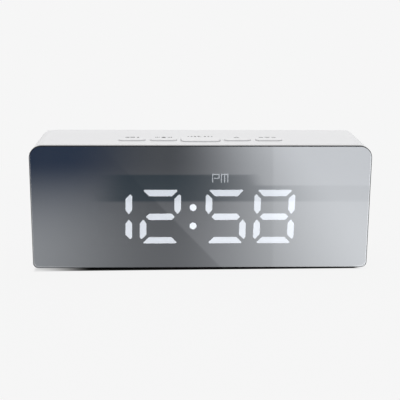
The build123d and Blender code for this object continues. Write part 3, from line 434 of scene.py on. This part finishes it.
whiteShell = {"color": (0.79, 0.79, 0.80), "roughness": 0.42, "shade": 0.02, "waver": 0.08, "bump": 0.12}
finishes = {
    "whiteShell": (("housing", "rear_cover"), whiteShell),
    "whiteKey": (
        ("mode_button", "alarm_button", "snooze_button", "up_button", "down_button"),
        {"color": (0.80, 0.80, 0.81), "roughness": 0.34, "shade": 0.02, "waver": 0.06, "bump": 0.08}),
    "blackFilm": (("mirror_backing",), {"color": (0.012, 0.012, 0.014), "roughness": 0.6, "bump": 0.05}),
    "foamTape": (
        ("mirror_tape",),
        {"color": (0.02, 0.02, 0.022), "roughness": 0.9, "grainScale": 1500.0, "bump": 0.6}),
    "footRubber": (
        ("rubber_feet",),
        {"color": (0.05, 0.05, 0.052), "roughness": 0.75, "grainScale": 1800.0, "bump": 0.4}),
    "blackBlock": (("display_block",), {"color": (0.012, 0.012, 0.013), "roughness": 0.55, "bump": 0.1}),
    "darkDiffuser": (("dark_segments",), {"color": (0.02, 0.021, 0.023), "roughness": 0.45, "bump": 0.05}),
    "ledBody": (("display_leds",), {"color": (0.80, 0.76, 0.45), "roughness": 0.35, "bump": 0.1}),
    "screwSteel": (
        ("rear_screws", "display_screws", "key_board_screws", "power_board_screws"),
        {"color": (0.55, 0.55, 0.56), "metallic": 1.0, "roughness": 0.28, "waver": 0.2, "bump": 0.1}),
    "canMetal": (
        ("crystal",),
        {"color": (0.62, 0.62, 0.61), "metallic": 1.0, "roughness": 0.25, "bump": 0.1}),
    "switchBlack": (("switch_bases",), {"color": (0.03, 0.03, 0.032), "roughness": 0.5, "bump": 0.2}),
    "switchSteel": (
        ("switch_covers",),
        {"color": (0.6, 0.6, 0.6), "metallic": 1.0, "roughness": 0.3, "bump": 0.1}),
    "plungerBlack": (
        ("mode_plunger", "alarm_plunger", "snooze_plunger", "up_plunger", "down_plunger"),
        {"color": (0.025, 0.025, 0.027), "roughness": 0.45, "bump": 0.1}),
    "contactNickel": (
        ("positive_contact", "negative_contact", "link_contacts", "contact_springs"),
        {"color": (0.66, 0.63, 0.58), "metallic": 1.0, "roughness": 0.27, "waver": 0.2, "bump": 0.1}),
    "socketSteel": (
        ("power_socket",),
        {"color": (0.56, 0.56, 0.57), "metallic": 1.0, "roughness": 0.32, "bump": 0.1}),
    "tongueBlack": (("power_tongue",), {"color": (0.02, 0.02, 0.02), "roughness": 0.5, "bump": 0.1}),
    "buzzerBlack": (("buzzer",), {"color": (0.02, 0.02, 0.02), "roughness": 0.45, "bump": 0.2}),
}
for name, (wearers, settings) in finishes.items():
    plain = buildFinish(name, settings)
    for nodeName in wearers:
        dress(nodeName, plain)
print("plain finishes on")


# A finish for one piece alone, to which overlays are added, and the places on that piece
def ownFinish(name, settings):
    material = buildFinish(name, settings)
    tree = material.node_tree
    return material, tree, axesOf(tree)


def shaderOf(tree):
    return next(node for node in tree.nodes if node.type == "BSDF_PRINCIPLED")


# A second colour, and bare metal if asked, where a mask is one
def overlay(tree, mask, color, metal=False):
    shader = shaderOf(tree)
    before = shader.inputs["Base Color"].links[0].from_socket
    wire(tree, blend(tree, mask, before, (*color, 1)), shader.inputs["Base Color"])
    if metal:
        already = shader.inputs["Metallic"]
        kept = combine(tree, "MULTIPLY", without(tree, mask), already.default_value)
        wire(tree, combine(tree, "ADD", kept, mask), already)


cellSettings = {
    "wrap": {"color": (0.055, 0.075, 0.11), "roughness": 0.3, "waver": 0.05, "shade": 0.04, "bump": 0.04},
    "metal": (0.62, 0.61, 0.58),
    "band": (0.30, 0.42, 0.44),
    "line": (0.72, 0.73, 0.72),
    "wrapReach": (1.65, 20.95),           # mm, middle and half, from the clock's middle towards the nub
    "bandReach": (16.6, 5.0),
    "lineReach": (11.2, 0.4),
    "plusMiddle": 17.0,
    "minusMiddle": -15.8,
    "signHalf": 1.5,
    "strokeHalf": 0.3,
    "outward": 14.6,                      # the signs are printed on the side that faces the door
    "cells": {                            # which way the nub points along X, and the middle's height
        "battery_1": (-1, 37.75),
        "battery_2": (1, 26.8),
        "battery_3": (-1, 15.85),
    },
}


# A dry cell: bare metal ends, a printed wrap with a band at the plus end, and its two signs
def buildCell(name, toward, height, settings):
    material, tree, places = ownFinish(name, settings["wrap"])

    def along(middle, half):
        return places["X"], toward * middle, half

    long, cross = settings["signHalf"], settings["strokeHalf"]
    upright = (places["Z"], height, long)
    plus = combine(tree, "MAXIMUM",
                   boxMask(tree, along(settings["plusMiddle"], long), (places["Z"], height, cross)),
                   boxMask(tree, along(settings["plusMiddle"], cross), upright))
    signs = combine(tree, "MAXIMUM", plus, boxMask(tree, along(settings["minusMiddle"], cross), upright))
    outer = combine(tree, "GREATER_THAN", places["Y"], settings["outward"] * mm)
    signs = combine(tree, "MULTIPLY", signs, outer)
    line = boxMask(tree, along(*settings["lineReach"]))
    overlay(tree, boxMask(tree, along(*settings["bandReach"])), settings["band"])
    overlay(tree, combine(tree, "MAXIMUM", line, signs), settings["line"])
    overlay(tree, without(tree, boxMask(tree, along(*settings["wrapReach"]))), settings["metal"], metal=True)
    return material


for nodeName, (toward, height) in cellSettings["cells"].items():
    dress(nodeName, buildCell("cellWrap" + nodeName[-1], toward, height, cellSettings))
print("cells wrapped")

doorSettings = {
    "arrowBase": 37.5,                    # mm, the sunk arrow that points to the latch, coloured darker as painted shade
    "arrowHeight": 3.0,
    "arrowSlope": 1.15,
    "arrowEdge": 0.1,
    "stemMiddle": 36.0,
    "stemHalf": (0.8, 1.5),
    "depth": 0.2,
    "tone": (0.66, 0.66, 0.67),
    "outside": 18.6,
}


def buildDoor(settings):
    material, tree, places = ownFinish("doorShell", whiteShell)
    rise = combine(tree, "SUBTRACT", places["Z"], settings["arrowBase"] * mm)
    left = combine(tree, "SUBTRACT", settings["arrowHeight"] * mm, rise)
    width = combine(tree, "MULTIPLY", left, 1 / settings["arrowSlope"])
    inside = combine(tree, "SUBTRACT", width, combine(tree, "ABSOLUTE", places["X"]))
    inside = spread(tree, inside, 0, settings["arrowEdge"] * mm)
    head = combine(tree, "MULTIPLY", inside, combine(tree, "GREATER_THAN", rise, 0.0))
    stem = boxMask(tree, (places["X"], 0, settings["stemHalf"][0]),
                   (places["Z"], settings["stemMiddle"], settings["stemHalf"][1]))
    outside = combine(tree, "GREATER_THAN", places["Y"], settings["outside"] * mm)
    arrow = combine(tree, "MULTIPLY", combine(tree, "MAXIMUM", head, stem), outside)
    # Painted shade: the sunk arrow is coloured darker than the shell
    overlay(tree, arrow, settings["tone"])
    normal = shaderOf(tree).inputs["Normal"]
    sink = addNode(tree, "ShaderNodeBump", Strength=1.0, Distance=settings["depth"] * mm, invert=True)
    wire(tree, arrow, sink.inputs["Height"])
    wire(tree, normal.links[0].from_socket, sink.inputs["Normal"])
    wire(tree, sink.outputs[0], normal)
    return material


dress("battery_door", buildDoor(doorSettings))
print("door marked")

leadSettings = {
    "black": {"color": (0.02, 0.02, 0.02), "roughness": 0.4, "bump": 0.05},
    "red": (0.48, 0.02, 0.018),
    "splits": {                           # the red lead lies below this place on that axis, in mm
        "battery_leads": ("X", 0.0),
        "power_leads": ("X", -46.0),
        "buzzer_leads": ("Z", 26.8),
    },
}


def buildLeads(name, axis, split, settings):
    material, tree, places = ownFinish(name, settings["black"])
    overlay(tree, combine(tree, "LESS_THAN", places[axis], split * mm), settings["red"])
    return material


for nodeName, (axis, split) in leadSettings["splits"].items():
    dress(nodeName, buildLeads(nodeName.replace("_leads", "Leads"), axis, split, leadSettings))
print("leads coloured")

boardSettings = {
    "mask": {"color": (0.01, 0.10, 0.045), "roughness": 0.35, "bump": 0.1},
    "trace": (0.03, 0.20, 0.09),
    "pad": (0.62, 0.60, 0.55),
    "first": {"Trace Scale": 170.0, "Pad Scale": 260.0, "Pad Size": 0.12},
    "traceEdge": (0.16, 0.12),
}


# Traces under the mask, as steps and straight runs, and small tinned holes
def buildTraceGroup(settings):
    group, entry, leave = newGroup("boardTraces", settings["first"], {
        "Trace": "NodeSocketFloat", "Pad": "NodeSocketFloat"})
    place = addNode(group, "ShaderNodeTexCoord")
    distances = []
    for feature, distance, scale in (("F1", "CHEBYCHEV", "Trace Scale"), ("F2", "CHEBYCHEV", "Trace Scale"),
                                     ("F1", "EUCLIDEAN", "Pad Scale")):
        pattern = addNode(group, "ShaderNodeTexVoronoi", feature=feature, distance=distance)
        wire(group, place.outputs["Object"], pattern.inputs["Vector"])
        wire(group, entry[scale], pattern.inputs["Scale"])
        distances.append(pattern.outputs["Distance"])
    nearest, second, dot = distances
    apart = combine(group, "SUBTRACT", second, nearest)
    wire(group, spread(group, apart, *settings["traceEdge"]), leave["Trace"])
    wire(group, combine(group, "LESS_THAN", dot, entry["Pad Size"]), leave["Pad"])
    return group


def buildBoard(settings):
    material = buildFinish("boardGreen", settings["mask"])
    tree = material.node_tree
    traces = addNode(tree, "ShaderNodeGroup", node_tree=buildTraceGroup(settings))
    overlay(tree, traces.outputs["Trace"], settings["trace"])
    overlay(tree, traces.outputs["Pad"], settings["pad"], metal=True)
    return material


board = buildBoard(boardSettings)
for nodeName in ("display_board", "key_board", "power_board"):
    dress(nodeName, board)
print("boards traced")

partSettings = {
    "tin": (0.60, 0.60, 0.60),
    "epoxy": {"color": (0.022, 0.022, 0.024), "roughness": 0.5, "bump": 0.3},
    "legs": {"controller_chip": 3.75, "driver_chips": 1.95},      # mm, half of the body across the legs
    "legGap": 0.05,
    "resistorBody": (11.8, 0.5),
    "sleeve": {"color": (0.03, 0.04, 0.09), "roughness": 0.3, "bump": 0.1},
    "stripe": (0.55, 0.57, 0.60),
    "stripeX": (38.6, 0.75),
    "canTop": -2.35,
    "bead": {"color": (0.02, 0.02, 0.03), "roughness": 0.25, "bump": 0.05},
    "beadFrom": 12.6,
    "ribbon": {"color": (0.42, 0.42, 0.43), "roughness": 0.5, "bump": 0.1},
    "ribbonPitch": 1.0,
    "ribbonLine": (0.08, 0.02),
    "ribbonDark": (0.22, 0.22, 0.23),
    "ribbonMark": (0.50, 0.03, 0.03),
    "ribbonMarkX": -3.2,
}


def buildChips(settings):
    bodies = {"chip_resistors": ("resistorEnds", *settings["resistorBody"])}
    for nodeName, half in settings["legs"].items():
        low, high = (corner[2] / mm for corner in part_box(nodeName))
        bodies[nodeName] = (nodeName.split("_")[0] + "Chip", (low + high) / 2, half + settings["legGap"])
    for nodeName, (name, middle, half) in bodies.items():
        material, tree, places = ownFinish(name, settings["epoxy"])
        body = boxMask(tree, (places["Z"], middle, half))
        overlay(tree, without(tree, body), settings["tin"], metal=True)
        dress(nodeName, material)


def buildCapacitor(settings):
    material, tree, places = ownFinish("capacitorCan", settings["sleeve"])
    top = combine(tree, "GREATER_THAN", places["Y"], settings["canTop"] * mm)
    overlay(tree, boxMask(tree, (places["X"], *settings["stripeX"])), settings["stripe"])
    overlay(tree, top, settings["tin"], metal=True)
    dress("capacitor", material)


def buildSensor(settings):
    material, tree, places = ownFinish("sensorBead", settings["bead"])
    bare = combine(tree, "LESS_THAN", places["Y"], settings["beadFrom"] * mm)
    overlay(tree, bare, settings["tin"], metal=True)
    dress("thermistor", material)


def buildRibbon(settings):
    material, tree, places = ownFinish("flatCable", settings["ribbon"])
    # Painted shade: thin darker lines, one each pitch, stand for the grooves between the wires
    step = combine(tree, "PINGPONG", places["X"], settings["ribbonPitch"] / 2 * mm)
    lines = spread(tree, step, *(place * mm for place in settings["ribbonLine"]))
    marked = combine(tree, "LESS_THAN", places["X"], settings["ribbonMarkX"] * mm)
    overlay(tree, lines, settings["ribbonDark"])
    overlay(tree, marked, settings["ribbonMark"])
    dress("key_ribbon", material)


for build in (buildChips, buildCapacitor, buildSensor, buildRibbon):
    build(partSettings)
print("small parts dressed")

mirrorSettings = {
    "tint": (0.95, 0.97, 1.0, 1),
    "edge": (0.012, 0.013, 0.015, 1),
    "flatFrom": (0.93, 0.99),             # how squarely the pane faces forwards, past the bevel
    "roughness": 0.025,
    "cover": 0.66,                        # how much of what is seen is reflection
}


# The walls and the bevel round the plate are coloured nearly black and stay glossy, and nothing shows through
# them
def buildMirror(settings):
    material, tree = freshNodes("halfMirror")
    shader = addNode(tree, "ShaderNodeBsdfPrincipled", Metallic=1.0, Roughness=settings["roughness"])
    ahead = combine(tree, "ABSOLUTE", axesOf(tree, "Normal")["Y"])
    wall = without(tree, spread(tree, ahead, *settings["flatFrom"]))
    wire(tree, blend(tree, wall, settings["tint"], settings["edge"]), shader.inputs["Base Color"])
    back = addNode(tree, "ShaderNodeNewGeometry").outputs["Backfacing"]
    pane = combine(tree, "MULTIPLY", without(tree, back), settings["cover"])
    wire(tree, combine(tree, "MAXIMUM", wall, pane), shader.inputs["Alpha"])
    showShader(tree, shader)
    return material


glowSettings = {
    "color": (0.90, 0.94, 1.0, 1),
    "strengths": {"lit_segments": 1.7, "colon_dots": 2.15, "afternoon_mark": 0.85},
    "farColors": {"lit_segments": (0.68, 0.715, 0.77, 1)},        # the last digits are a little weaker
    "fadeX": (-2, 38),                    # mm
    "body": (0.25, 0.26, 0.28, 1),
    "roughness": 0.5,
    "grain": {"Shade": 0.12, "Grain Scale": 500.0, "Cloud Scale": 160.0},
}


def buildGlow(nodeName, settings):
    material, tree = freshNodes(nodeName.split("_")[1] + "Glow")
    shader = addNode(tree, "ShaderNodeBsdfPrincipled", Roughness=settings["roughness"])
    shader.inputs["Base Color"].default_value = settings["body"]
    shader.inputs["Emission Strength"].default_value = settings["strengths"][nodeName]
    fade = spread(tree, axesOf(tree)["X"], *(place * mm for place in settings["fadeX"]))
    farColor = settings["farColors"].get(nodeName, settings["color"])
    grain = addNode(tree, "ShaderNodeGroup", node_tree=grainGroup, **settings["grain"])
    wire(tree, blend(tree, fade, settings["color"], farColor), grain.inputs["Color"])
    wire(tree, grain.outputs["Color"], shader.inputs["Emission Color"])
    showShader(tree, shader)
    return material


dress("mirror_panel", buildMirror(mirrorSettings))
for nodeName in glowSettings["strengths"]:
    dress(nodeName, buildGlow(nodeName, glowSettings))
print("mirror and marks on")

printSettings = {
    "top": 52.8,                          # mm, the casing's top face
    "rise": 0.03,                         # how far the ink stands above it, and goes into it
    "sink": 0.02,
    "line": 0.34,
    "ink": {"color": (0.09, 0.09, 0.095), "roughness": 0.5},
}


# A flat printed shape: a circle of that many corners, turned, stretched, and hollow or cut if asked
def stamp(x, y, radius, corners=28, turn=0, stretch=(1, 1), hollow=False, keep=None):
    bpy.ops.object.select_all(action="DESELECT")
    low = (printSettings["top"] - printSettings["sink"]) * mm
    bpy.ops.mesh.primitive_circle_add(vertices=corners, radius=radius * mm, fill_type="NGON")
    shape = bpy.context.object
    bpy.ops.object.mode_set(mode="EDIT")
    bpy.ops.mesh.select_all(action="SELECT")
    bpy.ops.transform.rotate(value=math.radians(turn), orient_axis="Z", center_override=(0, 0, 0))
    bpy.ops.transform.resize(value=(*stretch, 1), center_override=(0, 0, 0))
    if hollow:
        bpy.ops.mesh.inset(thickness=printSettings["line"] * mm)
        bpy.ops.mesh.delete(type="FACE")
    if keep:
        mesh = bmesh.from_edit_mesh(shape.data)
        lost = [face for face in mesh.faces if not keep(face.calc_center_median() / mm)]
        bmesh.ops.delete(mesh, geom=lost, context="FACES")
        bmesh.update_edit_mesh(shape.data)
    bpy.ops.mesh.select_all(action="SELECT")
    bpy.ops.mesh.extrude_region_move(TRANSFORM_OT_translate={
        "value": (0, 0, (printSettings["rise"] + printSettings["sink"]) * mm)})
    bpy.ops.mesh.select_all(action="SELECT")
    bpy.ops.transform.translate(value=(x * mm, y * mm, low))
    bpy.ops.mesh.normals_make_consistent(inside=False)
    bpy.ops.object.mode_set(mode="OBJECT")
    return shape


# A bar as long and as high as said: its circle's four corners are those of a unit square
def bar(x, y, length=printSettings["line"], height=printSettings["line"]):
    return stamp(x, y, math.sqrt(0.5), corners=4, turn=45, stretch=(length, height))


modeMark = {
    "place": (-28.7, 0.3),                # mm, from the middle of the clock
    "face": {"x": -2.2, "y": 0, "radius": 0.95},
    "hands": ({"x": -2.2, "y": 0.25, "height": 0.55}, {"x": -1.98, "y": 0, "length": 0.5}),
    "leaf": {"x": 0, "y": 0, "radius": 1.2, "corners": 4, "turn": 45, "stretch": (1.05, 1)},
    "leafHead": {"x": 0, "y": 0.35, "length": 1.6, "height": 0.5},
    "bulb": {"x": 2.3, "y": -0.55, "radius": 0.5},
    "tube": {"x": 2.3, "y": 0.3, "length": 0.42, "height": 1.4},
}
alarmMark = {
    "place": (-15.5, 0.3),
    "dome": {"x": 0, "y": 0.1, "radius": 0.75},
    "bell": {"x": 0, "y": -0.35, "length": 1.5, "height": 0.9},
    "rim": {"x": 0, "y": -0.8, "length": 2.1},
    "clapper": {"x": 0, "y": -1.0, "radius": 0.3},
    "waveX": 0.55,
    "waves": (1.6, 2.3, 3.0),
    "waveCorners": 48,
    "waveShare": 0.3,                     # of its radius, how far a wave goes up and down
}
snoozeMark = {
    "place": (0.0, 2.3),
    "moon": {"x": -0.1, "y": 0, "radius": 1.0, "corners": 48},
    "bite": {"x": 0.38, "y": 0.22, "radius": 0.82, "corners": 48},
    "biteScale": 3,
    "stars": ((2.1, 0.95), (3.6, 0.8), (5.0, 0.65)),
    "starStretch": (0.62, 1),
}
upMark = {
    "place": (15.5, 0.3),
    "triangle": {"x": 0, "y": -0.2, "radius": 1.2, "corners": 3, "stretch": (1.3, 0.95)},
}
downMark = {
    "place": (28.7, 0.3),
    "triangle": {"x": 0, "y": 0.2, "radius": 1.2, "corners": 3, "turn": 180, "stretch": (1.3, 0.95)},
    "barX": 2.7,
    "barY": 0.4,
    "barLength": 1.8,
}


# Clock face, calendar leaf and thermometer: the three things that the display can show
def modeShapes(mark):
    return [stamp(**mark["face"], hollow=True), *(bar(**hand) for hand in mark["hands"]),
            stamp(**mark["leaf"], hollow=True), bar(**mark["leafHead"]),
            stamp(**mark["bulb"]), bar(**mark["tube"])]


# A bell between sound waves
def alarmShapes(mark):
    shapes = [stamp(**mark["dome"]), bar(**mark["bell"]), bar(**mark["rim"]), stamp(**mark["clapper"])]
    for side in (-1, 1):
        for reach in mark["waves"]:
            shapes.append(stamp(side * mark["waveX"], 0, reach, corners=mark["waveCorners"], hollow=True,
                                keep=lambda middle, side=side, reach=reach:
                                middle.x * side > 0 and abs(middle.y) < mark["waveShare"] * reach))
    return shapes


# A moon among stars: the moon is a disc with a second disc cut out of it
def snoozeShapes(mark):
    moon, cutter = stamp(**mark["moon"]), stamp(**mark["bite"])
    cutter.scale.z = mark["biteScale"]
    cutter.location.z = (1 - mark["biteScale"]) * printSettings["top"] * mm
    cut = moon.modifiers.new("cut", "BOOLEAN")
    cut.operation = "DIFFERENCE"
    cut.object = cutter
    bpy.context.view_layer.update()
    bpy.context.view_layer.objects.active = moon
    bpy.ops.object.modifier_apply(modifier="cut")
    bpy.data.objects.remove(cutter)
    return [moon, *(stamp(side * x, 0, height, corners=4, stretch=mark["starStretch"])
                    for side in (-1, 1) for x, height in mark["stars"])]


def upShapes(mark):
    return [stamp(**mark["triangle"], hollow=True)]


def downShapes(mark):
    return [stamp(**mark["triangle"], hollow=True),
            *(bar(side * mark["barX"], level * mark["barY"], mark["barLength"])
              for side in (-1, 1) for level in (1, -1))]


def buildPrint(name, mark, shapes, ink):
    bpy.ops.object.select_all(action="DESELECT")
    for shape in shapes:
        shape.select_set(True)
    bpy.context.view_layer.objects.active = shapes[0]
    bpy.ops.object.join()
    piece = bpy.context.object
    piece.name = name
    bpy.ops.object.mode_set(mode="EDIT")
    bpy.ops.mesh.select_all(action="SELECT")
    bpy.ops.transform.translate(value=(mark["place"][0] * mm, mark["place"][1] * mm, 0))
    bpy.ops.object.mode_set(mode="OBJECT")
    bpy.ops.object.transform_apply(location=True, rotation=True, scale=True)
    piece.data.materials.append(ink)
    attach(piece, "clock")


greyInk = buildFinish("greyInk", printSettings["ink"])
for name, mark, shapesOf in (("modePrint", modeMark, modeShapes), ("alarmPrint", alarmMark, alarmShapes),
                             ("snoozePrint", snoozeMark, snoozeShapes), ("upPrint", upMark, upShapes),
                             ("downPrint", downMark, downShapes)):
    buildPrint(name, mark, shapesOf(mark), greyInk)
print("marks printed")

bpy.context.view_layer.update()
